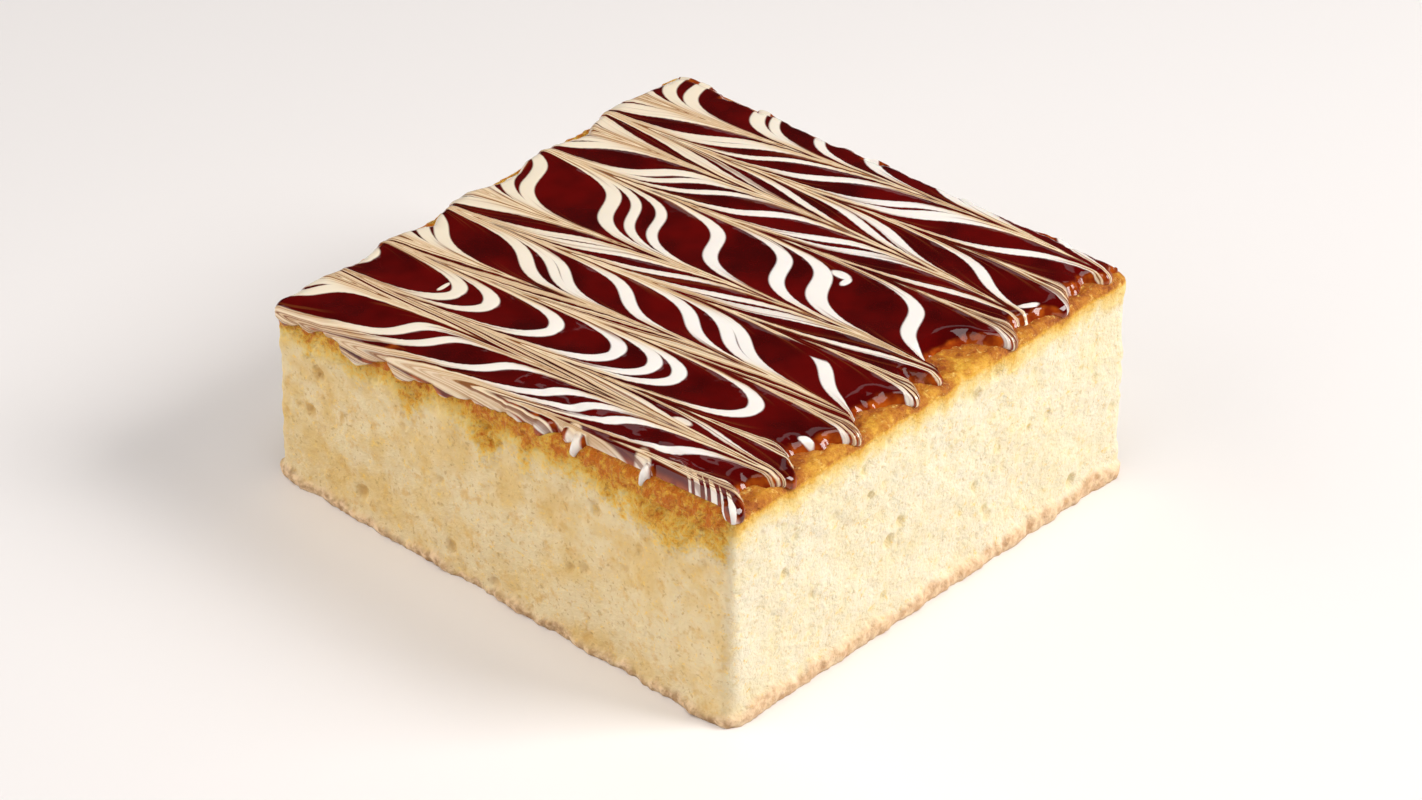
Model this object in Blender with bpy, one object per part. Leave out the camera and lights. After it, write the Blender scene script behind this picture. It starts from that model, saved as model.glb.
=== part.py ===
"""A square slice of tres leches cake: a milk-soaked sponge with a browned foot and rim, under a caramel glaze.

Metres, +Z up. The slice stands on the XY plane with its middle over the origin. The cut face towards -Y is the
front, +X is the right. The slice is lowest at its front left corner.
"""

import math
import random

import bmesh
import bpy
import numpy as np
from mathutils import Vector, noise

MM = 0.001

# Driving sizes of the slice
LENGTH_X = 83.2 * MM
LENGTH_Y = 78.6 * MM
CORNER_RADIUS = 1.5 * MM
HEIGHT_FRONT_LEFT = 27.6 * MM
HEIGHT_FRONT_RIGHT = 32.0 * MM
HEIGHT_BACK_RIGHT = 33.0 * MM
HEIGHT_BACK_LEFT = 34.2 * MM

# Glaze
GLAZE_THICKNESS = 1.1 * MM
GLAZE_WAVE = 0.12 * MM
REST_GAP = 0.3 * MM

# Browned skin under the sponge, which stands out round the foot
FOOT_FLARE = 0.8 * MM
SKIN_HEIGHT = 1.5 * MM
SKIN_REACH = 0.9 * MM

# Relief of the crumb
RIM_RADIUS = 1.4 * MM
BULGE_DEPTH = 0.5 * MM
CRUMB_DEPTH = 0.36 * MM
CRAG_DEPTH = 0.55 * MM
CRAG_BAND = 6.0 * MM
LEVEL_BAND = (4.0 * MM, 6.0 * MM)
PORE_COUNT = 90
PORE_RADIUS = (1.6 * MM, 2.6 * MM)
PORE_DEPTH = 0.42
PORE_SEED = 11

# Mesh spacing round the outline and up the sides
STEPS_X = 40
STEPS_Y = 38
STEPS_CORNER = 4
SIDE_ROWS = 14
TOP_INSETS = (5.0 * MM, 12.0 * MM, 24.0 * MM)

# How far the glaze runs over each cut face from the start of the rim's rounding (minus leaves the top's edge bare),
# and its lobes and notches there: (place along the face, half width, reach)
GLAZE_RUN = {"front": 1.4 * MM, "right": -4.4 * MM, "back": -0.5 * MM, "left": -0.2 * MM}
GLAZE_LOBES = {
    "front": (
        (-39 * MM, 3.0 * MM, 1.0 * MM),
        (-25 * MM, 3.0 * MM, 2.2 * MM),
        (-16 * MM, 2.0 * MM, 1.2 * MM),
        (-8 * MM, 3.0 * MM, 0.8 * MM),
        (8.8 * MM, 1.6 * MM, 1.2 * MM),
        (14.8 * MM, 2.2 * MM, 3.2 * MM),
        (30 * MM, 20.0 * MM, -3.2 * MM),
        (26 * MM, 2.2 * MM, 4.2 * MM),
        (40.5 * MM, 2.2 * MM, 2.6 * MM),
    ),
    "right": (
        (-38 * MM, 3.6 * MM, 6.4 * MM),
        (-28.5 * MM, 3.4 * MM, 6.2 * MM),
        (-20.5 * MM, 2.5 * MM, 2.8 * MM),
        (-16 * MM, 2.8 * MM, 5.6 * MM),
        (-9.5 * MM, 2.5 * MM, 2.0 * MM),
        (-4.5 * MM, 2.4 * MM, 5.6 * MM),
        (0.8 * MM, 1.8 * MM, 5.0 * MM),
        (14.3 * MM, 2.8 * MM, 6.2 * MM),
        (20 * MM, 3.0 * MM, 3.4 * MM),
        (25.5 * MM, 3.2 * MM, 5.8 * MM),
        (30.5 * MM, 2.0 * MM, 3.0 * MM),
        (35 * MM, 2.4 * MM, 4.6 * MM),
        (40 * MM, 3.4 * MM, 4.8 * MM),
    ),
    "back": (
        (-36 * MM, 4.0 * MM, 1.6 * MM),
        (-22 * MM, 3.0 * MM, 1.0 * MM),
        (-12 * MM, 3.0 * MM, -0.8 * MM),
        (-1 * MM, 3.0 * MM, 1.2 * MM),
        (8 * MM, 3.0 * MM, -0.8 * MM),
        (15 * MM, 3.0 * MM, 1.0 * MM),
        (30 * MM, 4.5 * MM, 1.4 * MM),
        (41 * MM, 3.0 * MM, 1.0 * MM),
    ),
    "left": (
        (-40 * MM, 3.0 * MM, 2.2 * MM),
        (-33 * MM, 3.5 * MM, 1.6 * MM),
        (-20 * MM, 3.0 * MM, 1.4 * MM),
        (-13 * MM, 2.0 * MM, -1.0 * MM),
        (-5 * MM, 3.0 * MM, 1.2 * MM),
        (2 * MM, 3.0 * MM, -1.2 * MM),
        (10 * MM, 4.0 * MM, 1.0 * MM),
        (17 * MM, 3.0 * MM, -1.0 * MM),
        (25 * MM, 4.0 * MM, 1.4 * MM),
    ),
}
GLAZE_RAGGED = 0.7 * MM
GLAZE_LEAST_RUN = -5.0 * MM

SPONGE_COLOUR = (0.87, 0.72, 0.42, 1.0)
GLAZE_COLOUR = (0.11, 0.008, 0.004, 1.0)


def clear_scene():
    for obj in list(bpy.data.objects):
        bpy.data.objects.remove(obj, do_unlink=True)


def material(name, colour, roughness):
    made = bpy.data.materials.new(name)
    made.use_nodes = True
    shader = made.node_tree.nodes["Principled BSDF"]
    shader.inputs["Base Color"].default_value = colour
    shader.inputs["Roughness"].default_value = roughness
    shader.inputs["Metallic"].default_value = 0.0
    return made


class Outline:
    """The slice's rounded rectangle, anticlockwise from the front left. A point moves in by inset times its slope."""

    def __init__(self):
        half = np.array([LENGTH_X, LENGTH_Y]) / 2
        core = half - CORNER_RADIUS
        points, slopes, normals, faces, along = [], [], [], [], []
        sides = (
            ("front", (0, -1), (1, 0), STEPS_X),
            ("right", (1, 0), (0, 1), STEPS_Y),
            ("back", (0, 1), (-1, 0), STEPS_X),
            ("left", (-1, 0), (0, -1), STEPS_Y),
        )
        for name, normal, run, steps in sides:
            normal, run = np.array(normal, float), np.array(run, float)
            reach = abs(run @ core)
            for k in range(steps):
                place = reach * (2 * k / steps - 1)
                point = normal * half + run * place
                points.append(point)
                slopes.append(normal + run * place / reach)
                normals.append(normal)
                faces.append(name)
                along.append(point @ np.abs(run))
            for k in range(STEPS_CORNER):
                turn = math.pi / 2 * k / STEPS_CORNER
                outward = normal * math.cos(turn) + run * math.sin(turn)
                point = (normal + run) * core + CORNER_RADIUS * outward
                points.append(point)
                slopes.append(normal + run)
                normals.append(outward)
                faces.append(name)
                along.append(point @ np.abs(run))
        self.points, self.slopes, self.normals = np.array(points), np.array(slopes), np.array(normals)
        self.faces, self.along, self.count = faces, np.array(along), len(points)

    def at(self, inset):
        return self.points - self.slopes * np.broadcast_to(inset, self.count)[:, None]


def glaze_top(xy):
    """Height of the glazed top at points xy, blended between the four corner heights."""
    u, v = xy[..., 0] / LENGTH_X + 0.5, xy[..., 1] / LENGTH_Y + 0.5
    front = HEIGHT_FRONT_LEFT * (1 - u) + HEIGHT_FRONT_RIGHT * u
    back = HEIGHT_BACK_LEFT * (1 - u) + HEIGHT_BACK_RIGHT * u
    return front * (1 - v) + back * v


def sponge_top(xy):
    return glaze_top(xy) - GLAZE_THICKNESS - REST_GAP


def wrap(outline, run, offset):
    """Points over the sponge's rim, at run past the start of its rounding (minus is inwards) and offset off it."""
    quarter = math.pi / 2 * RIM_RADIUS
    turn = math.pi / 2 - np.clip(run / quarter, 0, 1) * math.pi / 2
    inset = RIM_RADIUS - np.minimum(run, 0) - (RIM_RADIUS + offset) * np.cos(turn)
    xy = outline.at(inset)
    drop = RIM_RADIUS - (RIM_RADIUS + offset) * np.sin(turn) + np.maximum(run - quarter, 0)
    return np.column_stack([xy, sponge_top(xy) - drop])


def noise_at(points, scale, seed):
    """Smooth noise from about -1 to 1 at each point; scale is the size of a lump."""
    shift = Vector((seed * 7.3, seed * 3.1, seed * 5.7))
    return np.array([noise.noise(Vector(p) / scale + shift) for p in points])


def pores(outline):
    """Open bubbles on the cut faces: (centre, radius), scattered by a seeded draw."""
    draw = random.Random(PORE_SEED)
    found = []
    for _ in range(PORE_COUNT):
        k = draw.randrange(outline.count)
        low, high = 3 * MM, sponge_top(outline.points[k]) - 4 * MM
        centre = np.append(outline.points[k], draw.uniform(low, high))
        found.append((centre, PORE_RADIUS[0] + (PORE_RADIUS[1] - PORE_RADIUS[0]) * draw.random() ** 2))
    return found


def side_relief(points, below_top, bubbles):
    """How far the cut face stands out at each point: bulges, crumb, crags under the rim, and the bubbles' dents."""
    bulge = BULGE_DEPTH * noise_at(points, 9 * MM, 1)
    crumb = CRUMB_DEPTH * noise_at(points, 2.4 * MM, 2)
    crags = CRAG_DEPTH * noise_at(points, 1.8 * MM, 3) * np.clip(1 - below_top / CRAG_BAND, 0, 1)
    relief = bulge + crumb + crags
    for centre, radius in bubbles:
        near = np.linalg.norm(points - centre, axis=1) / radius
        relief -= PORE_DEPTH * radius * np.clip(1 - near**2, 0, 1)
    # Under the glaze's lip the face only dips, so that the two never touch
    level = np.clip((LEVEL_BAND[1] - below_top) / (LEVEL_BAND[1] - LEVEL_BAND[0]), 0, 1)
    return relief - level * np.maximum(relief, 0)


def lofted(name, rings, ends):
    """One closed mesh through rings of equal counts, with a flat cap or a middle point at each end."""
    mesh = bmesh.new()
    rows = [[mesh.verts.new(p) for p in ring] for ring in rings]
    count = len(rows[0])
    for low, high in zip(rows, rows[1:]):
        for k in range(count):
            after = (k + 1) % count
            mesh.faces.new((low[k], low[after], high[after], high[k]))
    for row, end in ((rows[0][::-1], ends[0]), (rows[-1], ends[1])):
        if end is None:
            mesh.faces.new(row)
            continue
        middle = mesh.verts.new(end)
        for k in range(count):
            mesh.faces.new((row[k], row[(k + 1) % count], middle))
    bmesh.ops.recalc_face_normals(mesh, faces=mesh.faces)
    bmesh.ops.triangulate(mesh, faces=mesh.faces)
    data = bpy.data.meshes.new(name)
    mesh.to_mesh(data)
    mesh.free()
    data.shade_smooth()
    return bpy.data.objects.new(name, data)


def skin_ring(outline, height, reach):
    """One ring of the browned skin: ragged, and standing out most where its noise is high."""
    xy = outline.points
    ragged = 1 + 0.7 * noise_at(np.column_stack([xy, np.zeros(len(xy))]), 3.2 * MM, 4)
    out = FOOT_FLARE + reach * ragged
    xy = xy + outline.normals * out[:, None]
    return np.column_stack([xy, np.full(len(xy), height)])


def make_sponge(outline):
    """The sponge: a flat foot with its browned skin, porous cut faces, a rounded rim and a smooth glazed top."""
    rings = [
        skin_ring(outline, 0.0, SKIN_REACH * 0.4),
        skin_ring(outline, SKIN_HEIGHT * 0.35, SKIN_REACH),
        skin_ring(outline, SKIN_HEIGHT * 0.8, SKIN_REACH * 0.7),
    ]
    bubbles = pores(outline)
    rim = sponge_top(outline.points) - RIM_RADIUS
    for share in np.linspace(0, 1, SIDE_ROWS):
        height = SKIN_HEIGHT * 1.4 + (rim - SKIN_HEIGHT * 1.4) * share
        face = np.column_stack([outline.points + outline.normals * FOOT_FLARE * (1 - share), height])
        relief = side_relief(face, sponge_top(outline.points) - height, bubbles)
        face[:, :2] += outline.normals * relief[:, None]
        rings.append(face)
    quarter = math.pi / 2 * RIM_RADIUS
    for share in (2 / 3, 1 / 3, 0):
        rings.append(wrap(outline, np.full(outline.count, quarter * share), 0.0))
    for inset in TOP_INSETS:
        xy = outline.at(inset)
        rings.append(np.column_stack([xy, sponge_top(xy)]))
    middle = np.zeros(2)
    return lofted("sponge", rings, (None, (0.0, 0.0, float(sponge_top(middle)))))


def glaze_reach(outline):
    """How far the glaze's edge runs past the start of the rim's rounding, all round the slice."""
    reach = np.array([GLAZE_RUN[face] for face in outline.faces])
    for face, lobes in GLAZE_LOBES.items():
        on_face = np.array([name == face for name in outline.faces])
        for place, half_width, height in lobes:
            lobe = height * np.exp(-(((outline.along - place) / half_width) ** 2))
            reach += np.where(on_face, lobe, 0)
    # The run changes gradually round each corner
    for _ in range(2):
        reach = (np.roll(reach, 1) + 2 * reach + np.roll(reach, -1)) / 4
    edge = np.column_stack([outline.points, np.zeros(outline.count)])
    return np.maximum(reach + GLAZE_RAGGED * noise_at(edge, 3.0 * MM, 5), GLAZE_LEAST_RUN)


def make_glaze(outline):
    """The caramel glaze: a thin cap over the sponge's top, with a rounded lip that hangs over the rim in lobes."""
    reach = glaze_reach(outline)
    quarter = math.pi / 2 * RIM_RADIUS
    # Each ring on the way to the lip stays at its place round the rim, or keeps its distance back from the lip
    places = (-3 * MM, 0.0, quarter / 3, quarter * 2 / 3, quarter, quarter + 1.5 * MM)
    backs = (2.6 * MM, 2.0 * MM, 1.5 * MM, 1.1 * MM, 0.75 * MM, 0.4 * MM)
    runs = [np.minimum(place, reach - back) for place, back in zip(places, backs)]
    shares = (1.0, 0.95, 0.85, 0.75, 0.7, 0.62)
    rings = []
    for inset in TOP_INSETS[:0:-1]:
        xy = outline.at(inset)
        rings.append(np.column_stack([xy, sponge_top(xy) + REST_GAP]))
    rings += [wrap(outline, run, REST_GAP) for run in runs]
    rings.append(wrap(outline, reach, REST_GAP + GLAZE_THICKNESS * 0.3))
    for run, share in zip(runs[::-1], shares[::-1]):
        rings.append(wrap(outline, run, REST_GAP + GLAZE_THICKNESS * share))
    for inset in TOP_INSETS[1:]:
        xy = outline.at(inset)
        ring = np.column_stack([xy, glaze_top(xy)])
        ring[:, 2] += GLAZE_WAVE * noise_at(ring, 11 * MM, 6)
        rings.append(ring)
    middle = np.zeros(2)
    under_middle = (0.0, 0.0, float(sponge_top(middle)) + REST_GAP)
    return lofted("caramel_glaze", rings, (under_middle, (0.0, 0.0, float(glaze_top(middle)))))


def main():
    clear_scene()
    slice_collection = bpy.data.collections.new("tres_leches_cake")
    bpy.context.scene.collection.children.link(slice_collection)
    outline = Outline()
    pieces = (
        (make_sponge(outline), material("sponge", SPONGE_COLOUR, 0.85)),
        (make_glaze(outline), material("caramel", GLAZE_COLOUR, 0.12)),
    )
    for piece, finish in pieces:
        piece.data.materials.append(finish)
        slice_collection.objects.link(piece)


main()
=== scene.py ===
import math

import bpy
import numpy as np
from mathutils import Matrix, Vector, noise


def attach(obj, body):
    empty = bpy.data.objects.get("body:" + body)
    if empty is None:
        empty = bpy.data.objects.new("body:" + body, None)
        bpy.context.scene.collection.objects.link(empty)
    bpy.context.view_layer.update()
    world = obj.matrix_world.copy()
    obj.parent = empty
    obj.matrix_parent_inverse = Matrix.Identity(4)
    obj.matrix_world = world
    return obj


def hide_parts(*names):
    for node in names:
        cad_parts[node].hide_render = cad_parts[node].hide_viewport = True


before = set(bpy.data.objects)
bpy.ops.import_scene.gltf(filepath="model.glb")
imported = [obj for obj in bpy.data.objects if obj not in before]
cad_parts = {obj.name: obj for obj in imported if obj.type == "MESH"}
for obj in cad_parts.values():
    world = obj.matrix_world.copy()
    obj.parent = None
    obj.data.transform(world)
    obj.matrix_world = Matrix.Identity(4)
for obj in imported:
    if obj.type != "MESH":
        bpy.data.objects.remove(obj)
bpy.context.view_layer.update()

MM = 0.001

# The slice's sizes in millimetres, the same as in the CAD model. GLAZE is the glaze with the gap under it,
# and QUARTER is the way round the rim's rounding
HALF = np.array([41.6, 39.3])
CORNER = 1.5
CORE = HALF - CORNER
RIM = 1.4
QUARTER = math.pi / 2 * RIM
HEIGHTS = {"front_left": 27.6, "front_right": 32.0, "back_right": 33.0, "back_left": 34.2}
GLAZE = 1.4
FOOT_FLARE = 0.8

# Spacing of the meshes: the glaze's sheet, its rows from the rim to the lip, and the sponge's sides
SHEET_STEP = 0.42
LIP_ROWS = 12
SIDE_STEP = 0.36

# How far the glaze runs over each face from the start of the rim's rounding (minus leaves the top's edge
# bare), and its lobes and notches there: (place, half width, reach). The front's two drips, near 15 and 26,
# are finer than the lobes that stand for them in the CAD model
RUNS = {"front": 1.4, "right": -4.4, "back": -0.5, "left": -0.2}
LOBES = {
    "front": (
        (-39, 3.0, 1.0),
        (-25, 3.0, 2.2),
        (-16, 2.0, 1.2),
        (-8, 3.0, 0.8),
        (8.8, 1.6, 1.2),
        (13.2, 1.1, 1.0),
        (15.2, 0.75, 2.8),
        (30, 20.0, -3.2),
        (24.4, 1.3, 1.2),
        (26.7, 0.75, 3.6),
        (40.5, 2.2, 2.6),
    ),
    "right": (
        (-38, 3.6, 6.4),
        (-28.5, 3.4, 6.2),
        (-20.5, 2.5, 2.8),
        (-16, 2.8, 5.6),
        (-9.5, 2.5, 2.0),
        (-4.5, 2.4, 5.6),
        (0.8, 1.8, 5.0),
        (14.3, 2.8, 6.2),
        (20, 3.0, 3.4),
        (25.5, 3.2, 5.8),
        (30.5, 2.0, 3.0),
        (35, 2.4, 4.6),
        (40, 3.4, 4.8),
    ),
    "back": (
        (-36, 4.0, 1.6),
        (-22, 3.0, 1.0),
        (-12, 3.0, -0.8),
        (-1, 3.0, 1.2),
        (8, 3.0, -0.8),
        (15, 3.0, 1.0),
        (30, 4.5, 1.4),
        (41, 3.0, 1.0),
    ),
    "left": (
        (-40, 3.0, 2.2),
        (-33, 3.5, 1.6),
        (-20, 3.0, 1.4),
        (-13, 2.0, -1.0),
        (-5, 3.0, 1.2),
        (2, 3.0, -1.2),
        (10, 4.0, 1.0),
        (17, 3.0, -1.0),
        (25, 4.0, 1.4),
    ),
}
# The furthest that the glaze's edge lies back from the rim
BARE = 5.5

# The glaze's lip is rounded over this run, and its underside is tucked into the sponge: two rings under the
# lip, each with its run back from it and its offset off the sponge, then the offset of the middle
LIP_ROUND = 1.3
TUCKS = ((0.15, -0.55), (1.0, -0.6))
UNDERSIDE = -0.6

# Each drag of the skewer through the icing: direction, its y at the left edge and at the right edge, how far
# its middle bows towards +Y, its pull, and its reach below and above it
DRAGS = (
    (-1, 46.0, 44.0, -0.5, 14, 1.8, 1.6),
    (+1, 29.0, 34.8, 1.2, 12, 1.6, 1.8),
    (-1, 23.0, 27.5, 0.0, 13, 1.6, 1.8),
    (+1, 17.8, 18.8, 1.7, 12, 1.4, 1.6),
    (-1, 10.3, 15.0, 0.0, 13, 1.6, 1.8),
    (+1, -3.5, 1.2, 0.6, 13, 1.6, 2.2),
    (-1, -9.0, -4.0, 0.6, 13, 1.6, 1.6),
    (+1, -18.5, -14.0, 1.2, 11, 0.6, 2.2),
    (-1, -20.3, -16.0, 0.6, 13, 1.4, 0.6),
    (-1, -28.8, -25.5, -0.2, 13, 0.9, 1.6),
    (+1, -30.5, -30.0, 0.4, 14, 0.9, 0.9),
    (-1, -39.2, -36.0, -0.3, 14, 1.8, 1.6),
)
# Half of the iced square, and how blunt the skewer was
ICED_HALF = 40.0
SKEWER = 0.25
# Right beside the skewer the icing is pulled this much further, within this reach
TAIL, TAIL_REACH = 0.65, 0.35

# Each piped line of icing: its width, and its x at the front edge and at the back edge
LINES = (
    (2.2, -67, -67),
    (2.2, -60, -60),
    (2.0, -50, -50),
    (1.5, -46, -44),
    (1.8, -41.5, -38.5),
    (1.9, -38, -34.5),
    (2.0, -20.5, -23),
    (1.4, -14.6, -20.2),
    (1.4, -15.8, -11.8),
    (1.9, -4.5, -3),
    (2.0, 5.5, 9),
    (1.9, 11.5, 15),
    (2.0, 17.8, 12.2),
    (2.1, 29, 29.5),
    (1.6, 46, 47),
    (1.8, 52, 52),
    (2.0, 62, 62),
    (1.8, 70, 70),
)
# Lines look wider where they are stretched, up to a limit and less so on the right; their edges soften there
LINE_GROW, GROW_LIMIT, GROW_LESS = 0.38, 12.0, 0.35
LINE_SOFT = (0.16, 0.05)

# Spots of icing (1) and places where it tore (0): x, y, half width along each, how far the spot leans along
# X for each millimetre of Y, and 1 or 0
SPOTS = (
    (37.6, -21.4, 1.0, 0.55, 0.6, 1),
    (38.2, 21.5, 0.6, 1.4, 0.4, 1),
    (40.8, 30.6, 0.6, 1.0, 0, 1),
    (23.2, -28.2, 1.5, 0.6, 0, 1),
    (14.9, 11.2, 1.6, 0.7, 0, 1),
    (16.5, 10.3, 0.6, 1.0, 0, 1),
    (-25.0, -23.6, 0.4, 1.1, 0, 1),
    (23.0, -5.9, 5.6, 0.9, 0, 0),
    (-25.0, -41.4, 2.4, 0.9, 0, 1),
    (-16.5, -40.7, 1.8, 0.7, 0, 1),
    (-9.0, -40.4, 2.4, 0.6, 0, 1),
    (14.8, -38.9, 1.3, 2.3, -0.7, 1),
    (26.2, -38.7, 1.4, 2.9, -0.7, 1),
    (37.8, -37.6, 5.0, 1.4, 0, 0),
)
# The fine lines that fold over the near corner
SPOTS += tuple(
    (32.4 + 1.1 * i + 0.3 * math.sin(2.1 * i), -36.9 - 0.17 * i, 0.27 + 0.1 * math.sin(1.7 * i), 1.6, -1.3, 1)
    for i in range(9)
)
SPOT_EDGE = (0.8, 1.2)

# Where the browned crust runs further down the front: place, half width, reach
STREAKS = (
    (-35, 2.5, 0.8),
    (-25, 2.5, 1.2),
    (-15, 2.2, 3.4),
    (-1, 2.8, 4.6),
    (6, 2.0, 1.6),
    (30, 4.0, 3.0),
    (39, 3.0, 2.0),
)
# Bubbles in the crumb, many fine ones and a few large: how many, smallest and largest radius, depth
BUBBLES = (
    (3000, 0.45, 0.6, 0.07),
    (500, 0.5, 0.8, 0.18),
    (90, 0.7, 1.2, 0.42),
)
# The holes that stand out: face, place along it, height, radius
HOLES = (
    ("front", -35, 13, 1.1),
    ("front", -33, 19.5, 1.2),
    ("front", 19, 21.5, 0.9),
    ("front", -25, 4.5, 1.2),
    ("front", -7.5, 4, 1.2),
    ("front", -15, 23.5, 1.0),
    ("front", -1, 25, 1.5),
    ("front", 0, 22.5, 1.2),
    ("front", 30, 26.5, 1.2),
    ("right", -30, 18, 0.8),
    ("right", -15, 26, 0.8),
    ("right", -14, 22, 0.7),
    ("right", -10, 13, 1.1),
    ("right", -8, 15, 0.8),
    ("right", 9, 8.5, 0.8),
    ("right", 28, 4, 1.2),
    ("right", 11, 28.5, 1.1),
)
# Rings of the sponge's top and underside, each by its distance in from the side
TOP_INSETS = (*np.arange(RIM + 0.4, RIM + BARE + 1.2, 0.4), 12.0, 24.0)
UNDER_INSETS = (0.6, 3.0, 8.0, 20.0)
FACES = ("front", "right", "back", "left")

# Colours that the syrup turns the sponge to as it grows stronger, and the crust as it browns: from and to
# which strength, how much, and the colour
SYRUP = (
    (0.05, 0.50, 1.0, (246, 216, 142)),
    (0.42, 0.76, 1.0, (230, 174, 58)),
    (0.70, 0.94, 1.0, (194, 118, 24)),
    (0.90, 1.08, 1.0, (152, 70, 10)),
)
BROWNING = (
    (0.05, 0.55, 0.9, (250, 212, 118)),
    (0.40, 0.90, 0.9, (254, 194, 64)),
    (0.80, 1.45, 0.9, (222, 112, 4)),
)

# The camera's direction and roll in degrees, what it looks at and from how far, and its lens for a picture
# of that width in pixels
AZIMUTH, ELEVATION, ROLL = 42.85, 32.2, 0.19
CAMERA_AIM = (-11.475 * MM, 14.365 * MM, 0.0)
CAMERA_DISTANCE = 469.03 * MM
FOCAL_PIXELS, WIDTH_PIXELS = 3280, 1422
SENSOR = 36
FLOOR_HALF = 3.0


# Smooth steps and random lumps

def srgb(*rgb):
    """A colour given as 0 to 255 display values, in the linear values that shaders take."""
    scaled = [v / 255 for v in rgb]
    return tuple(v / 12.92 if v < 0.04045 else ((v + 0.055) / 1.055) ** 2.4 for v in scaled) + (1.0,)


def ease(t):
    t = np.clip(t, 0, 1)
    return t * t * (3 - 2 * t)


def band(value, low, high):
    """0 below low, 1 above high, smooth between."""
    return ease((value - low) / (high - low))


def hashed(i, j, k, seed):
    """A repeatable random number from 0 to 1 for each whole-number cell."""
    h = (i * 374761393 + j * 668265263 + k * 2147483647 + seed * 974634777) & 0xFFFFFFFF
    h = ((h ^ (h >> 13)) * 1274126177) & 0xFFFFFFFF
    h = ((h ^ (h >> 16)) * 2246822519) & 0xFFFFFFFF
    return ((h ^ (h >> 15)) & 0xFFFFFF) / 0xFFFFFF


def lumps(p, size, seed=0):
    """Smooth random lumps of about that size, from about -1 to 1, at points p in millimetres."""
    q = np.asarray(p, float) / size
    cell = np.floor(q).astype(np.int64)
    f = q - cell
    w = f * f * f * (f * (f * 6 - 15) + 10)
    total = np.zeros(q.shape[:-1])
    for corner in range(8):
        c = np.array([corner & 1, corner >> 1 & 1, corner >> 2 & 1])
        at = cell + c
        g = [hashed(at[..., 0], at[..., 1], at[..., 2], seed * 3 + n) * 2 - 1 for n in range(3)]
        dot = sum(g[n] * (f[..., n] - c[n]) for n in range(3))
        weight = np.prod(np.where(c, w, 1 - w), axis=-1)
        total += dot * weight
    return total * 1.9


def flat_points(xy):
    """Points xy with z = 0 added."""
    return np.concatenate([xy, np.zeros(xy.shape[:-1] + (1,))], -1)


def bell(along, place, half_width):
    return np.exp(-(((along - place) / half_width) ** 2))


# The slice's form

def glaze_top(xy):
    """Height of the glazed top at points xy, blended between the four corner heights."""
    u, v = xy[..., 0] / (2 * HALF[0]) + 0.5, xy[..., 1] / (2 * HALF[1]) + 0.5
    front = HEIGHTS["front_left"] * (1 - u) + HEIGHTS["front_right"] * u
    back = HEIGHTS["back_left"] * (1 - u) + HEIGHTS["back_right"] * u
    return front * (1 - v) + back * v


def sponge_top(xy):
    return glaze_top(xy) - GLAZE


def middle_point(offset):
    """The point in the middle of the slice, at that offset off the sponge's top."""
    return [[0, 0, float(sponge_top(np.zeros(2))) + offset]]


def lip_run(face, along):
    """How far the glaze's edge runs past the start of the rim's rounding at each place along a face."""
    run = np.full_like(along, RUNS[face])
    for place, half_width, reach in LOBES[face]:
        run = run + reach * bell(along, place, half_width)
    return run


def lip_at(base, weight, edge):
    """The run of the glaze's edge at the points edge.

    base is the same points kept inside the rounded corners. weight is 0 on the left and right faces, 1 on the
    others, and between at the corners.
    """
    run_x = np.where(base[..., 0] > 0, lip_run("right", base[..., 1]), lip_run("left", base[..., 1]))
    run_y = np.where(base[..., 1] > 0, lip_run("back", base[..., 0]), lip_run("front", base[..., 0]))
    lip = run_x * (1 - weight) + run_y * weight
    flat = flat_points(edge)
    return np.maximum(lip + 0.6 * lumps(flat, 3.0, 20) + 0.22 * lumps(flat, 1.2, 21), -BARE)


# Mesh pieces

def mesh_object(name, points, faces, attributes):
    """A smooth-shaded mesh piece from points in millimetres, with named values kept at its points."""
    data = bpy.data.meshes.new(name)
    data.from_pydata((np.asarray(points) * MM).tolist(), [], faces)
    data.update()
    for key, values in attributes.items():
        values = np.asarray(values, np.float32)
        if values.ndim == 1:
            data.attributes.new(key, "FLOAT", "POINT").data.foreach_set("value", values)
        else:
            data.attributes.new(key, "FLOAT_VECTOR", "POINT").data.foreach_set("vector", values.ravel())
    data.shade_smooth()
    made = bpy.data.objects.new(name, data)
    bpy.context.scene.collection.objects.link(made)
    return made


def strip_faces(low, high):
    """Quads between two closed rings of point numbers."""
    return np.stack([low, np.roll(low, -1), np.roll(high, -1), high], -1).tolist()


def fan_faces(ring, middle):
    """Triangles from a closed ring of point numbers to the point in its middle."""
    return np.stack([ring, np.roll(ring, -1), np.full(len(ring), middle)], -1).tolist()


def underside_faces(rings, middle):
    """Faces that close a piece from below, through rings of point numbers from its edge inwards."""
    faces = []
    for outer, inner in zip(rings, rings[1:]):
        faces += strip_faces(inner, outer)
    return faces + [face[::-1] for face in fan_faces(rings[-1], middle)]


# The feathered icing

# Lines of white icing were piped along Y over the wet glaze, and a skewer was then drawn through them along
# X, to one side and the other in turn. A drag shifts what lies near it along X by an amount that falls off
# with the distance from its path, so the icing at a point is what lay at x minus the sum of the shifts.
# icing() works this out for the relief, and icing_nodes() does the same in the glaze's shader.

def drag_path(left, right, bow):
    """Cubic in x / ICED_HALF that eases from left to right, with the middle bowed."""
    return (left + right) / 2 + bow, 0.75 * (right - left), -bow, -0.25 * (right - left)


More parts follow.
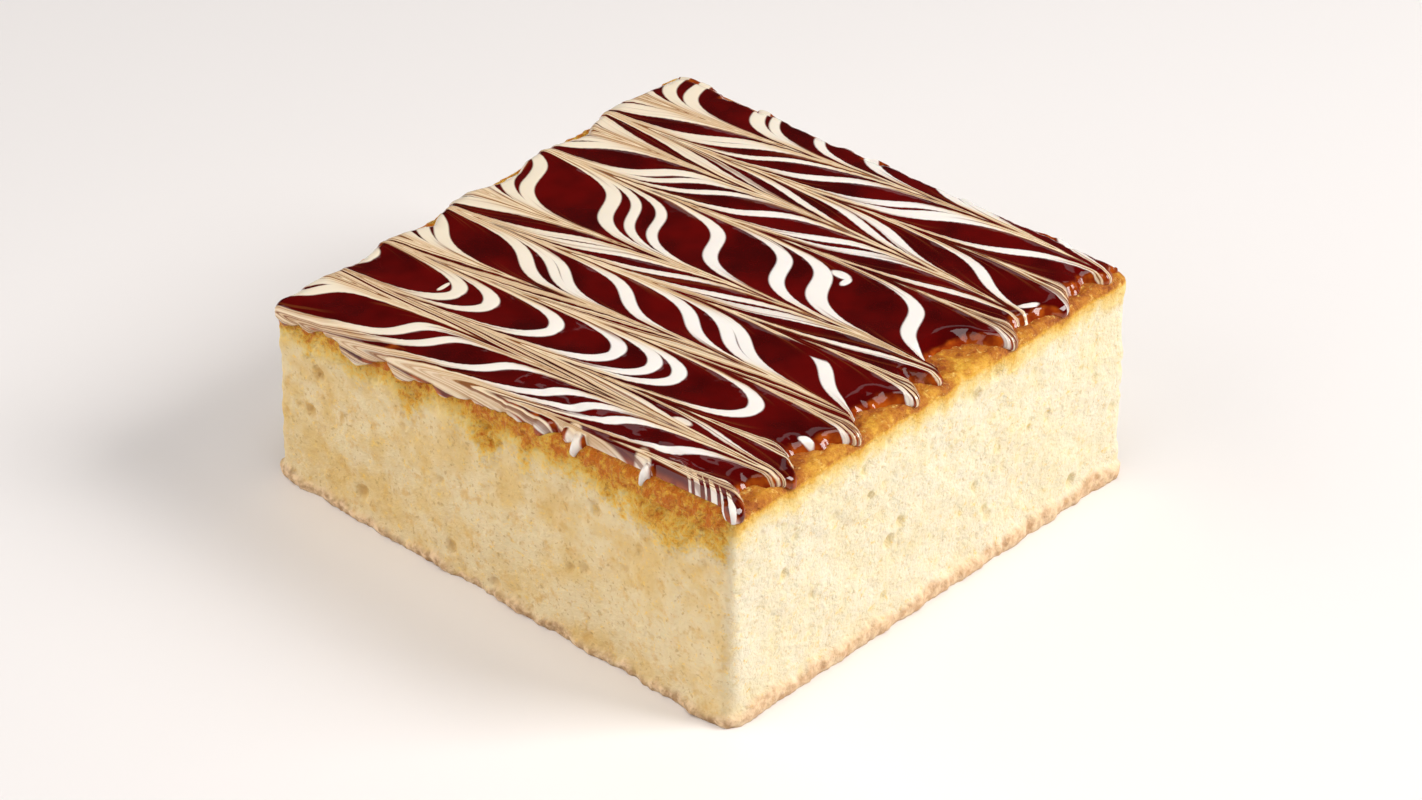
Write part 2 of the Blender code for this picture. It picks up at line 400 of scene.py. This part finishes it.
def icing(x, y):
    """How much icing covers each point, and how strongly the drags have stretched it there."""
    t = x / ICED_HALF
    shift, stretch = np.zeros_like(x), np.zeros_like(x)
    for side, left, right, bow, pull, low, high in DRAGS:
        path = drag_path(left, right, bow)
        away = y - (path[0] + t * (path[1] + t * (path[2] + t * path[3])))
        reach = np.where(away < 0, low, high)
        near = np.sqrt(away**2 + SKEWER**2) - SKEWER
        pulled = side * pull * np.exp(-near / reach)
        tail = side * pull * TAIL * np.exp(-near / TAIL_REACH)
        shift += pulled + tail
        stretch += (pulled / reach + tail / TAIL_REACH) * np.where(away < 0, -1, 1)
    stretch = np.abs(stretch)
    first = x - shift
    cover = np.zeros_like(x)
    widen = 1 + LINE_GROW * (1 - GROW_LESS * t) * stretch / (1 + stretch / GROW_LIMIT)
    soft = LINE_SOFT[0] + LINE_SOFT[1] * stretch
    for width, front, back in LINES:
        middle = (front + back) / 2 + (back - front) / 2 * y / ICED_HALF
        cover = np.maximum(cover, ease((width / 2 * widen - np.abs(first - middle)) / (2 * soft) + 0.5))
    for at_x, at_y, half_x, half_y, lean, iced in SPOTS:
        away = np.hypot((x - at_x - lean * (y - at_y)) / half_x, (y - at_y) / half_y)
        cover = cover + (1 - band(away, *SPOT_EDGE)) * (iced - cover)
    return cover, stretch


def icing_nodes(n, x, y):
    """How much icing covers the surface, how stretched it is, and the x where it lay first."""
    tx, ty = n.times(x, 1 / ICED_HALF), n.times(y, 1 / ICED_HALF)
    shift, stretch = 0.0, 0.0
    for side, left, right, bow, pull, low, high in DRAGS:
        away = n.minus(y, n.cubic(tx, drag_path(left, right, bow)))
        under = n.math("LESS_THAN", away, 0.0)
        rate = n.scaled(under, 1 / low - 1 / high, 1 / high)
        slope = n.scaled(under, -side * (1 / low + 1 / high), side / high)
        near = n.minus(SKEWER, n.math("SQRT", n.scaled(away, away, SKEWER**2)))
        pulled = n.times(n.math("EXPONENT", n.times(near, rate)), float(pull))
        tail = n.times(n.math("EXPONENT", n.times(near, 1 / TAIL_REACH)), float(pull * TAIL))
        shift = n.scaled(n.plus(pulled, tail), float(side), shift)
        stretch = n.scaled(pulled, slope, stretch)
        stretch = n.scaled(tail, n.scaled(under, -2 * side / TAIL_REACH, side / TAIL_REACH), stretch)
    stretch = n.math("ABSOLUTE", stretch)
    first = n.minus(x, shift)
    limited = n.math("DIVIDE", stretch, n.scaled(stretch, 1 / GROW_LIMIT, 1.0))
    widen = n.scaled(limited, n.scaled(tx, -LINE_GROW * GROW_LESS, LINE_GROW), 1.0)
    sharp = n.math("DIVIDE", 0.5, n.scaled(stretch, LINE_SOFT[1], LINE_SOFT[0]))
    cover = 0.0
    for width, front, back in LINES:
        middle = n.scaled(ty, (back - front) / 2, (front + back) / 2)
        inside = n.minus(n.times(widen, width / 2), n.math("ABSOLUTE", n.minus(first, middle)))
        cover = n.math("MAXIMUM", cover, n.step(n.scaled(inside, sharp, 0.5), 0.0, 1.0))
    for at_x, at_y, half_x, half_y, lean, iced in SPOTS:
        along = n.scaled(y, 1 / half_y, -at_y / half_y)
        across = n.scaled(along, -lean * half_y / half_x, n.scaled(x, 1 / half_x, -at_x / half_x))
        away = n.math("SQRT", n.plus(n.times(across, across), n.times(along, along)))
        cover = n.scaled(n.fade(away, *SPOT_EDGE), n.minus(float(iced), cover), cover)
    return cover, stretch, first


# Shader building

class Nodes:
    """Short calls that add shader nodes to a new material and join them."""

    def __init__(self, name):
        self.material = bpy.data.materials.new(name)
        self.material.use_nodes = True
        self.tree = self.material.node_tree
        self.shader = self.tree.nodes["Principled BSDF"]

    def add(self, kind, **settings):
        node = self.tree.nodes.new(kind)
        for key, value in settings.items():
            setattr(node, key, value)
        return node

    def put(self, socket, value):
        """Joins a socket to another node's output, or gives it a fixed value."""
        if isinstance(value, bpy.types.NodeSocket):
            self.tree.links.new(value, socket)
        else:
            socket.default_value = value

    def math(self, operation, *values):
        node = self.add("ShaderNodeMath", operation=operation)
        for socket, value in zip(node.inputs, values):
            self.put(socket, value)
        return node.outputs[0]

    def plus(self, a, b):
        return self.math("ADD", a, b)

    def minus(self, a, b):
        return self.math("SUBTRACT", a, b)

    def times(self, a, b):
        return self.math("MULTIPLY", a, b)

    def scaled(self, value, by, add):
        """value times by, plus add."""
        return self.math("MULTIPLY_ADD", value, by, add)

    def cubic(self, t, c):
        value = self.scaled(t, float(c[3]), float(c[2]))
        value = self.scaled(value, t, float(c[1]))
        return self.scaled(value, t, float(c[0]))

    def step(self, value, low, high):
        """0 below low, 1 above high, smooth between."""
        node = self.add("ShaderNodeMapRange", interpolation_type="SMOOTHSTEP", clamp=True)
        self.put(node.inputs["Value"], value)
        self.put(node.inputs["From Min"], low)
        self.put(node.inputs["From Max"], high)
        return node.outputs["Result"]

    def fade(self, value, low, high):
        """1 below low, 0 above high, smooth between."""
        return self.minus(1.0, self.step(value, low, high))

    def mix(self, factor, a, b):
        node = self.add("ShaderNodeMix", data_type="RGBA", clamp_factor=True)
        self.put(node.inputs[0], factor)
        self.put(node.inputs[6], a)
        self.put(node.inputs[7], b)
        return node.outputs[2]

    def tinted(self, colour, strength, tints):
        """colour, turned to each tint in its turn as the strength grows."""
        for low, high, share, tint in tints:
            colour = self.mix(self.times(self.step(strength, low, high), share), colour, srgb(*tint))
        return colour

    def value(self, name, output="Fac"):
        """A named value kept at the mesh's points."""
        return self.add("ShaderNodeAttribute", attribute_name=name).outputs[output]

    def place(self, stretch=(1, 1, 1)):
        """The surface point in millimetres, with each axis scaled."""
        node = self.add("ShaderNodeMapping")
        self.put(node.inputs["Vector"], self.add("ShaderNodeTexCoord").outputs["Object"])
        node.inputs["Scale"].default_value = [s / MM for s in stretch]
        return node.outputs[0]

    def noise(self, where, size, detail, rough, seed):
        node = self.add("ShaderNodeTexNoise", noise_dimensions="4D")
        self.put(node.inputs["Vector"], where)
        node.inputs["W"].default_value = seed
        node.inputs["Scale"].default_value = 1 / size
        node.inputs["Detail"].default_value = detail
        node.inputs["Roughness"].default_value = rough
        return node.outputs["Fac"]

    def bump(self, height, distance, normal=None):
        node = self.add("ShaderNodeBump")
        node.inputs["Distance"].default_value = distance * MM
        node.inputs["Strength"].default_value = 1.0
        self.put(node.inputs["Height"], height)
        if normal is not None:
            self.put(node.inputs["Normal"], normal)
        return node.outputs[0]


# The sponge

def outline(step):
    """The sponge's rounded rectangle, anticlockwise from the front left, spaced about step apart.

    Gives its points, its normals, the slope by which a point moves inwards, each point's share of each face,
    and its place along the face.
    """
    points, normals, slopes, shares, along = [], [], [], [], []
    turns = ((0, (0, -1), (1, 0)), (1, (1, 0), (0, 1)), (2, (0, 1), (-1, 0)), (3, (-1, 0), (0, -1)))
    for face, normal, run in turns:
        normal, run = np.array(normal, float), np.array(run, float)
        reach = abs(run @ CORE)
        count = int(round(2 * reach / step))
        place = reach * (2 * np.arange(count) / count - 1)
        points.append(normal * HALF + run * place[:, None])
        normals.append(np.tile(normal, (count, 1)))
        slopes.append(normal + run * place[:, None] / reach)
        share = np.zeros((count, 4))
        share[:, face] = 1
        shares.append(share)
        along.append(points[-1] @ np.abs(run))
        count = int(round(math.pi / 2 * CORNER / step))
        turn = math.pi / 2 * np.arange(count) / count
        outward = normal * np.cos(turn)[:, None] + run * np.sin(turn)[:, None]
        points.append((normal + run) * CORE + CORNER * outward)
        normals.append(outward)
        slopes.append(np.tile(normal + run, (count, 1)))
        share = np.zeros((count, 4))
        share[:, face] = 1 - turn / (math.pi / 2)
        share[:, (face + 1) % 4] = turn / (math.pi / 2)
        shares.append(share)
        along.append(points[-1] @ np.abs(run))
    return [np.concatenate(part) for part in (points, normals, slopes, shares, along)]


def browned_crust(grid, below, along, front, left):
    """How much crust shows at each point, under the rim of the front and left faces."""
    ragged = 1.5 * lumps(grid, 4.0, 4) + 0.9 * lumps(grid, 1.7, 5)
    depth = 3.6 + 1.8 * band(along, 8, 24)[None, :] * front + 0.4 * left
    for place, half_width, reach in STREAKS:
        depth = depth + reach * bell(along, place, half_width)[None, :] * front
    return (front + left) * band(depth + ragged - below, -2.6, 3.4)


def crumb_relief(grid, crust):
    """How far the cut faces stand out: bulges as in the CAD model, finer lumps, and the crust's crags."""
    shift = Vector((7.3, 3.1, 5.7))
    bulge = np.array([noise.noise(Vector(p) / 9 + shift) for p in grid.reshape(-1, 3)]).reshape(crust.shape)
    relief = 0.5 * bulge + 0.18 * lumps(grid, 2.6, 1) + 0.06 * lumps(grid, 1.3, 2)
    crag = 0.75 * np.abs(lumps(grid, 1.9, 6)) + 0.3 * lumps(grid, 0.8, 7)
    return relief + crust * (crag - 0.35)


def dent(relief, pit, grid, row, column, radius, depth, tall):
    """Presses a round bubble into the relief, and marks how deep each point lies in one."""
    rows, count = relief.shape
    spread = int(radius * max(tall, 1) / SIDE_STEP) + 2
    near_rows = np.arange(max(row - spread, 0), min(row + spread + 1, rows))
    near_columns = np.arange(column - spread, column + spread + 1) % count
    block = np.ix_(near_rows, near_columns)
    off = grid[block] - grid[row, column]
    flat = np.hypot(off[..., 0], off[..., 1])
    near = np.sqrt(flat**2 + (off[..., 2] / tall) ** 2) / radius
    bowl = np.clip(1 - near**2, 0, 1)
    relief[block] -= depth * bowl
    pit[block] = np.maximum(pit[block], bowl * min(depth / 0.5, 1))


def open_bubbles(relief, grid, height, shares, along):
    """Presses all the bubbles into the relief, and gives how deep each point lies in one."""
    pit = np.zeros(relief.shape)
    rows, count = relief.shape
    draw = np.random.default_rng(7)
    for number, small, large, deep in BUBBLES:
        row = draw.integers(5, rows - 4, number)
        column = draw.integers(0, count, number)
        radius = small + (large - small) * draw.random(number) ** 2
        depth = deep * draw.uniform(0.5, 1.2, number)
        tall = draw.uniform(0.8, 1.4, number)
        for bubble in zip(row, column, radius, depth, tall):
            dent(relief, pit, grid, *bubble)
    for face, place, z, radius in HOLES:
        on_face = shares[:, FACES.index(face)] > 0.99
        column = int(np.argmin(np.where(on_face, np.abs(along - place), 1e9)))
        row = int(np.argmin(np.abs(height[:, column] - z)))
        dent(relief, pit, grid, row, column, radius, radius * 0.75, 1.1)
    return pit


def baked_skin(grid, height, right):
    """The browned skin it was baked on: how much of it each point shows, and how far it stands out there."""
    edge = grid.copy()
    edge[..., 2] = 0
    tall = 1.4 + 1.0 * right + 0.9 * lumps(edge, 6.0, 10) + 0.7 * lumps(edge, 1.8, 11)
    skin = 1 - band(height - tall, -0.5, 0.35)
    ragged = 0.5 + 0.75 * lumps(edge, 3.2, 8) + 0.45 * lumps(edge, 1.2, 9)
    stand = np.clip(0.3 + 0.7 * ragged, 0.0, 1.2) * (0.65 + 0.35 * np.clip(height / 0.8, 0, 1))
    return skin, skin * (stand + 0.14 * lumps(grid, 0.9, 12))


def soaked(gap, where):
    """How strongly the glaze's syrup shows at each point, by a measure of the way to the glaze."""
    ragged = 0.7 * lumps(where, 2.6, 13) + 0.45 * lumps(where, 1.1, 14)
    return np.clip(1 - (gap + ragged) / 6.0, 0, 1)


def sponge_piece():
    points, normals, slopes, shares, along = outline(SIDE_STEP)
    count = len(points)
    rim = sponge_top(points) - RIM
    rows = int(rim.max() / SIDE_STEP)
    share = np.linspace(0, 1, rows)[:, None]
    height = rim[None, :] * share
    below = sponge_top(points)[None, :] - height
    front, right, back, left = (shares[:, n][None, :] for n in range(4))
    grid = np.empty((rows, count, 3))
    grid[..., :2] = points[None] + normals[None] * (FOOT_FLARE * (1 - share))[..., None]
    grid[..., 2] = height

    crust = browned_crust(grid, below, along, front, left)
    relief = crumb_relief(grid, crust)
    pit = open_bubbles(relief, grid, height, shares, along)
    # Under the glaze's lip the relief stays shallow, so that the lip covers it
    near = 1 - band(below, 1.6, 4.4)
    relief = relief + near * (np.clip(relief, -0.3, 0.1 + 0.4 * crust) - relief)
    skin, stand = baked_skin(grid, height, right)
    relief = relief * (1 - 0.7 * skin) + stand
    grid[..., :2] += normals[None] * relief[..., None]

    # Honey-coloured syrup from the glaze, soaked into the top of each cut face
    lip = lip_at(np.clip(points, -CORE, CORE), shares[:, 0] + shares[:, 2], points)
    soak = soaked(below + 0.8 - 0.5 * np.clip(lip, 0, 3) + 0.1 * np.clip(-lip, 0, 5), grid)

    # The rounded rim and the glazed top, each ring with its syrup, then the underside
    over, soaks = [], []
    for turn in np.linspace(0, math.pi / 2, 5)[1:]:
        xy = points - slopes * (RIM * (1 - math.cos(turn)))
        xy = xy + normals * (relief[-1] * math.cos(turn))[:, None]
        over.append(np.column_stack([xy, sponge_top(xy) - RIM * (1 - math.sin(turn))]))
        soaks.append(soaked(0.25 * (QUARTER * (1 - 2 * turn / math.pi) - lip), over[-1]))
    for inset in TOP_INSETS:
        xy = points - slopes * inset
        rough = 0.22 * lumps(flat_points(xy), 1.3, 15) - 0.05
        lift = rough if inset < RIM + BARE else -0.3
        over.append(np.column_stack([xy, sponge_top(xy) + lift]))
        soaks.append(soaked(0.25 * (RIM - inset - lip), over[-1]))
    under = [flat_points(grid[0, :, :2] - slopes * inset) for inset in UNDER_INSETS]
    everything = np.concatenate([grid.reshape(-1, 3)] + over + [middle_point(0)] + under + [[[0, 0, 0]]])

    up = [count * r + np.arange(count) for r in range(rows + len(over))]
    top_middle = count * len(up)
    down = [top_middle + 1 + count * r + np.arange(count) for r in range(len(under))]
    faces = []
    for low, high in zip(up, up[1:]):
        faces += strip_faces(low, high)
    faces += fan_faces(up[-1], top_middle)
    faces += underside_faces([up[0]] + down, top_middle + 1 + count * len(down))

    values = {
        "crust": np.clip(crust, 0, 1),
        "soak": soak,
        "skin": skin,
        "pit": np.clip(pit, 0, 1),
        # How far each point turns golden and darker, by face: partly the cut faces' own tone, partly painted
        # shade on the front and left faces that the key light misses, less on the back
        "golden_and_painted_shade": np.broadcast_to(front + 0.9 * left + 0.25 * back, (rows, count)),
        "below": below,
    }
    kept = {}
    for key, side in values.items():
        top = np.array(soaks) if key == "soak" else np.repeat(side[-1:], len(over), 0)
        bottom = np.full(count * len(under) + 1, 1.0 if key == "skin" else 0.0)
        kept[key] = np.concatenate([side.ravel(), top.ravel(), [top[-1].mean()], bottom])
    return mesh_object("sponge_crumb", everything, faces, kept)


def crumb_colour(n, here, upright, grain):
    """Cream crumb, more golden and darker on the front and left and a little on the back, partly the cut
    faces' own tone and partly painted shade for the faces away from the key light, with paler and browner
    patches, flecks, specks and bubbles.
    """
    golden_and_painted_shade = n.value("golden_and_painted_shade")
    patches = n.noise(here, 6.0, 3, 0.6, seed=2)
    cream = n.mix(n.step(patches, 0.35, 0.7), srgb(246, 235, 208), srgb(244, 230, 194))
    tan = n.mix(n.step(patches, 0.38, 0.65), srgb(240, 220, 176), srgb(232, 200, 136))
    # Cream turns to tan on the front and left faces: partly their own golden tone, partly painted shade
    colour = n.mix(golden_and_painted_shade, cream, tan)

    # Holes, blotches and specks are darker on the front and left too, by the same mix of own tone and painted
    # shade
    holes = n.mix(golden_and_painted_shade, srgb(238, 214, 136), srgb(212, 170, 94))
    blotches = n.mix(golden_and_painted_shade, srgb(243, 219, 144), srgb(222, 174, 92))
    specks = n.mix(golden_and_painted_shade, srgb(214, 184, 122), srgb(184, 142, 84))
    colour = n.mix(n.times(n.step(grain, 0.56, 0.70), n.scaled(golden_and_painted_shade, 0.25, 0.2)), colour, holes)
    fleck = n.noise(upright, 1.3, 2, 0.5, seed=3)
    colour = n.mix(n.times(n.step(fleck, 0.60, 0.72), 0.4), colour, holes)
    blotch = n.noise(here, 2.0, 3, 0.6, seed=11)
    colour = n.mix(n.times(n.step(blotch, 0.52, 0.72), n.scaled(golden_and_painted_shade, 0.35, 0.25)), colour, blotches)
    speck = n.noise(here, 0.55, 1, 0.5, seed=8)
    colour = n.mix(n.times(n.fade(speck, 0.28, 0.38), 0.45), colour, specks)
    return n.mix(n.times(n.value("pit"), 0.5), colour, holes)


def sponge_material():
    n = Nodes("sponge")
    here = n.place()
    upright = n.place((1, 1, 1.3))
    crust, soak = n.value("crust"), n.value("soak")
    grain = n.noise(upright, 0.7, 4, 0.65, seed=1)
    colour = crumb_colour(n, here, upright, grain)

    # The syrup turns cream to yellow, then to brown at the glaze; the front has its crust, the foot its skin
    colour = n.tinted(colour, n.plus(soak, n.scaled(grain, 0.5, -0.25)), SYRUP)
    browned = n.scaled(n.noise(here, 1.0, 5, 0.75, seed=4), 3.4, n.plus(crust, -1.8))
    close = n.times(n.fade(n.value("below"), 1.2, 3.6), crust)
    colour = n.tinted(colour, n.plus(browned, n.times(close, 0.35)), BROWNING)
    char = n.times(n.step(n.noise(here, 0.6, 2, 0.6, seed=9), 0.54, 0.68), crust)
    colour = n.mix(n.times(char, 0.5), colour, srgb(176, 86, 8))
    # The skin's browner colour on the front and left is partly its own baked tone, partly painted shade on
    # the faces away from the key light
    baked_tone_with_painted_shade = n.mix(n.value("golden_and_painted_shade"), srgb(214, 170, 128), srgb(176, 136, 96))
    rind = n.mix(n.step(n.noise(here, 1.2, 3, 0.6, seed=5), 0.35, 0.65), srgb(246, 214, 174), baked_tone_with_painted_shade)
    colour = n.mix(n.times(n.value("skin"), 0.9), colour, rind)
    n.put(n.shader.inputs["Base Color"], colour)

    n.put(n.shader.inputs["Roughness"], n.scaled(n.plus(soak, crust), -0.25, 0.8))
    n.shader.inputs["Specular IOR Level"].default_value = 0.35
    n.shader.inputs["Subsurface Weight"].default_value = 0.35
    n.shader.inputs["Subsurface Radius"].default_value = (1.0, 0.75, 0.45)
    n.shader.inputs["Subsurface Scale"].default_value = 1.0 * MM
    crumb = n.bump(n.noise(here, 0.5, 3, 0.65, seed=6), 0.32)
    crumb = n.bump(n.noise(upright, 1.1, 2, 0.5, seed=7), 0.25, crumb)
    crags = n.times(n.noise(here, 0.9, 4, 0.7, seed=10), n.plus(crust, n.times(soak, 0.35)))
    n.put(n.shader.inputs["Normal"], n.bump(crags, 1.4, crumb))
    return n.material


# The glaze

def over_rim(base, outward, run, offset):
    """Points of the sheet on the rim: run past the start of its rounding, at that offset off the sponge."""
    turn = np.clip(run / QUARTER, 0, 1) * math.pi / 2
    reach = (CORNER - RIM) + np.minimum(run, 0) + (RIM + offset) * np.sin(turn)
    xy = base + outward * reach[..., None]
    drop = RIM - (RIM + offset) * np.cos(turn) + np.maximum(run - QUARTER, 0)
    return np.concatenate([xy, (sponge_top(xy) - drop)[..., None]], -1)


def sheet_axes():
    """The sheet's places along X and along Y: even steps inside, then LIP_ROWS steps over the rim."""
    axes = []
    for reach in HALF - RIM:
        inside = np.linspace(-reach, reach, int(round(2 * reach / SHEET_STEP)) + 1)
        rows = SHEET_STEP * np.arange(1, LIP_ROWS + 1)
        axes.append(np.concatenate([-reach - rows[::-1], inside, reach + rows]))
    return np.meshgrid(*axes)


def glaze_piece():
    X, Y = sheet_axes()
    past_core = np.stack([np.abs(X), np.abs(Y)], -1) - CORE
    q = np.maximum(past_core, 0)
    longest = q.max(-1)
    with np.errstate(invalid="ignore", divide="ignore"):
        ratio = np.where(longest > 0, q.min(-1) / longest, 0)
    turn = np.where(q[..., 0] >= q[..., 1], math.pi / 4 * ratio, math.pi / 2 - math.pi / 4 * ratio)
    sign = np.stack([np.sign(X), np.sign(Y)], -1)
    outward = np.stack([np.cos(turn), np.sin(turn)], -1) * sign
    base = np.clip(np.stack([X, Y], -1), -CORE, CORE)
    rim_start = CORNER - RIM
    inside = longest <= rim_start
    row = np.clip((longest - rim_start) / SHEET_STEP, 0, LIP_ROWS) / LIP_ROWS

    # Each point's run past the rim's start, its place on the flattened sheet, and its way back from the lip
    lip = lip_at(base, turn / (math.pi / 2), base + outward * CORNER)
    run = np.where(inside, past_core.max(-1) - rim_start, np.maximum(lip, 0.4) * (1 - (1 - row) ** 1.6))
    sheet = base + outward * np.where(inside, longest, rim_start + run)[..., None]
    flat = flat_points(sheet)
    back = lip - run

    # Thickness: full on top, thinner over the rim, rounded at the lip; waves, and the icing's slight relief
    cover, stretch = icing(sheet[..., 0], sheet[..., 1])
    taper = (1 - band(lip, -3.5, 0.0)) * (1 - band(back, 0.0, 3.0))
    thick = (GLAZE - 0.6 * band(run, -1.5, 2.0)) * (1 - 0.75 * taper)
    rounded = np.sqrt(np.clip(1 - (1 - np.clip(back / LIP_ROUND, 0, 1)) ** 2, 0, 1))
    wave = 0.10 * lumps(flat, 11, 22) + 0.06 * lumps(flat, 4.5, 23)
    ridge = 0.3 * stretch / (stretch + 2.5)
    offset = thick * rounded - 0.5 * (1 - band(back, -0.5, 0.15))
    offset = offset + (wave + ridge - 0.15 + 0.08 * cover) * rounded
    points = over_rim(base, outward, np.maximum(run, -rim_start), offset)
    points[inside, :2] = (base + outward * longest[..., None])[inside]
    points[inside, 2] = (sponge_top(points[..., :2]) + offset)[inside]

    # Where the glaze is thin enough for the syrup's orange to show
    thin = 1 - band(back + 0.5 * lumps(flat, 1.6, 24), 0.0, 1.5 + 0.8 * lumps(flat, 4.0, 25))
    thin = np.clip(thin, 0, 1)

    # The sheet's faces, then the underside, tucked just under the sponge's surface
    index = np.arange(X.size).reshape(X.shape)
    quads = np.stack([index[:-1, :-1], index[:-1, 1:], index[1:, 1:], index[1:, :-1]], -1)
    faces = quads.reshape(-1, 4).tolist()
    loop = np.concatenate([index[0, :-1], index[:-1, -1], index[-1, :0:-1], index[:0:-1, 0]])

    def at_edge(values):
        """The values at the points round the sheet's edge."""
        return values.reshape((-1,) + values.shape[2:])[loop]

    rings = []
    for back_run, depth in TUCKS:
        runs = at_edge(run) - back_run
        rings.append(over_rim(at_edge(base), at_edge(outward), runs, np.full(len(loop), depth)))
    xy = at_edge(base) * 0.9
    rings.append(np.concatenate([xy, (sponge_top(xy) + UNDERSIDE)[:, None]], -1))
    everything = np.concatenate([points.reshape(-1, 3)] + rings + [middle_point(UNDERSIDE)])
    down = [X.size + len(loop) * r + np.arange(len(loop)) for r in range(len(rings))]
    faces += underside_faces([loop] + down, len(everything) - 1)

    def with_underside(values, fill):
        """The sheet's values at its points, followed by fill at those of the underside."""
        known = values.reshape((-1,) + values.shape[2:])
        rest = np.full((len(everything) - len(known),) + values.shape[2:], fill)
        return np.concatenate([known, rest])

    kept = {"sheet": with_underside(flat, 0.0), "thin": with_underside(thin, 1.0)}
    return mesh_object("marbled_glaze", everything, faces, kept)


def glaze_material():
    n = Nodes("caramel")
    split = n.add("ShaderNodeSeparateXYZ")
    n.put(split.inputs[0], n.value("sheet", "Vector"))
    x, y, _ = split.outputs
    cover, stretch, first = icing_nodes(n, x, y)

    # Where the skewer ran, icing and glaze are drawn into fine hairs of cream, tan and brown
    mixed = n.math("DIVIDE", stretch, n.plus(stretch, 2.5))
    hairs = n.add("ShaderNodeTexNoise", noise_dimensions="1D")
    n.put(hairs.inputs["W"], n.plus(n.times(first, 0.24), n.times(y, 0.12)))
    hairs.inputs["Scale"].default_value = 1.0
    hairs.inputs["Detail"].default_value = 2.3
    hairs.inputs["Roughness"].default_value = 0.65
    strand = n.step(hairs.outputs["Fac"], 0.36, 0.62)
    streak = n.times(n.fade(hairs.outputs["Fac"], 0.38, 0.46), n.step(mixed, 0.4, 0.8))

    here = n.place()
    cloud = n.noise(here, 7.0, 2, 0.5, seed=11)
    dark = n.mix(n.step(cloud, 0.3, 0.7), srgb(62, 1, 1), srgb(94, 3, 2))
    amber = n.mix(n.step(n.noise(here, 1.5, 2, 0.5, seed=12), 0.3, 0.7), srgb(180, 84, 18), srgb(128, 38, 8))
    caramel = n.mix(n.step(n.value("thin"), 0.1, 1.0), dark, amber)
    white = n.mix(n.step(x, -34.0, 6.0), srgb(240, 227, 204), srgb(246, 241, 235))
    drawn = n.mix(strand, srgb(186, 140, 90), srgb(240, 218, 184))
    light = n.mix(n.step(stretch, 0.8, 11.0), white, drawn)
    colour = n.mix(cover, caramel, light)
    colour = n.mix(n.times(streak, 0.75), colour, srgb(112, 52, 22))
    n.put(n.shader.inputs["Base Color"], colour)

    n.shader.inputs["Roughness"].default_value = 0.28
    n.shader.inputs["Specular IOR Level"].default_value = 0.0
    n.shader.inputs["Coat Weight"].default_value = 1.0
    n.shader.inputs["Coat Roughness"].default_value = 0.06
    n.shader.inputs["Coat IOR"].default_value = 1.45
    n.shader.inputs["Subsurface Weight"].default_value = 0.12
    n.shader.inputs["Subsurface Radius"].default_value = (1.0, 0.4, 0.2)
    n.shader.inputs["Subsurface Scale"].default_value = 0.5 * MM
    relief = n.bump(cover, 0.05, n.bump(n.noise(here, 3.5, 2, 0.5, seed=13), 0.06))
    n.put(n.shader.inputs["Normal"], relief)
    n.put(n.shader.inputs["Coat Normal"], relief)
    return n.material


# The setting: a pale floor, soft light and the camera

def area_light(name, place, size, power, colour):
    data = bpy.data.lights.new(name, "AREA")
    data.shape = "RECTANGLE"
    data.size, data.size_y = size
    data.energy = power
    data.color = colour
    light = bpy.data.objects.new(name, data)
    light.location = place
    towards = Vector((0, 0, 0.015)) - light.location
    light.rotation_euler = towards.to_track_quat("-Z", "Y").to_euler()
    bpy.context.scene.collection.objects.link(light)


def pale_floor():
    mesh = bpy.data.meshes.new("floor")
    corners = [(x * FLOOR_HALF, y * FLOOR_HALF, 0) for x, y in ((-1, -1), (1, -1), (1, 1), (-1, 1))]
    mesh.from_pydata(corners, [], [(0, 1, 2, 3)])
    floor = bpy.data.objects.new("floor", mesh)
    bpy.context.scene.collection.objects.link(floor)
    finish = Nodes("pale_floor")
    finish.shader.inputs["Base Color"].default_value = srgb(242, 239, 238)
    finish.shader.inputs["Roughness"].default_value = 0.45
    finish.shader.inputs["Specular IOR Level"].default_value = 0.3
    mesh.materials.append(finish.material)


def soft_light():
    area_light("key", (0.66, 0.46, 0.60), (0.45, 0.45), 9.0, (1.0, 0.975, 0.95))
    area_light("fill", (-0.55, -0.85, 0.50), (1.6, 1.1), 9.4, (1.0, 0.955, 0.93))
    area_light("overhead", (0.15, -0.15, 0.95), (0.6, 0.6), 3.9, (1.0, 0.98, 0.96))
    area_light("back_panel", (-0.40, 0.44, 0.76), (0.5, 0.26), 0.35, (0.96, 0.96, 1.0))
    world = bpy.data.worlds.new("soft_room")
    world.use_nodes = True
    world.node_tree.nodes["Background"].inputs["Color"].default_value = (1.0, 0.985, 0.96, 1.0)
    world.node_tree.nodes["Background"].inputs["Strength"].default_value = 0.035
    bpy.context.scene.world = world


def camera():
    data = bpy.data.cameras.new("camera")
    data.sensor_fit = "HORIZONTAL"
    data.sensor_width = SENSOR
    data.lens = FOCAL_PIXELS / WIDTH_PIXELS * SENSOR
    data.clip_start = 0.01
    made = bpy.data.objects.new("camera", data)
    bpy.context.scene.collection.objects.link(made)
    turn, tilt, roll = (math.radians(angle) for angle in (AZIMUTH, ELEVATION, ROLL))
    back = Vector((math.sin(turn) * math.cos(tilt), -math.cos(turn) * math.cos(tilt), math.sin(tilt)))
    right = Vector((math.cos(turn), math.sin(turn), 0))
    up = back.cross(right)
    rolled_right = right * math.cos(roll) + up * math.sin(roll)
    rolled_up = up * math.cos(roll) - right * math.sin(roll)
    made.location = Vector(CAMERA_AIM) + back * CAMERA_DISTANCE
    made.rotation_euler = Matrix((rolled_right, rolled_up, back)).transposed().to_euler()
    bpy.context.scene.camera = made


sponge = sponge_piece()
sponge.data.materials.append(sponge_material())
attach(sponge, "root")
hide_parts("sponge")

glaze = glaze_piece()
glaze.data.materials.append(glaze_material())
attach(glaze, "root")
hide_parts("caramel_glaze")

pale_floor()
soft_light()
camera()
bpy.context.scene.view_settings.view_transform = "Standard"
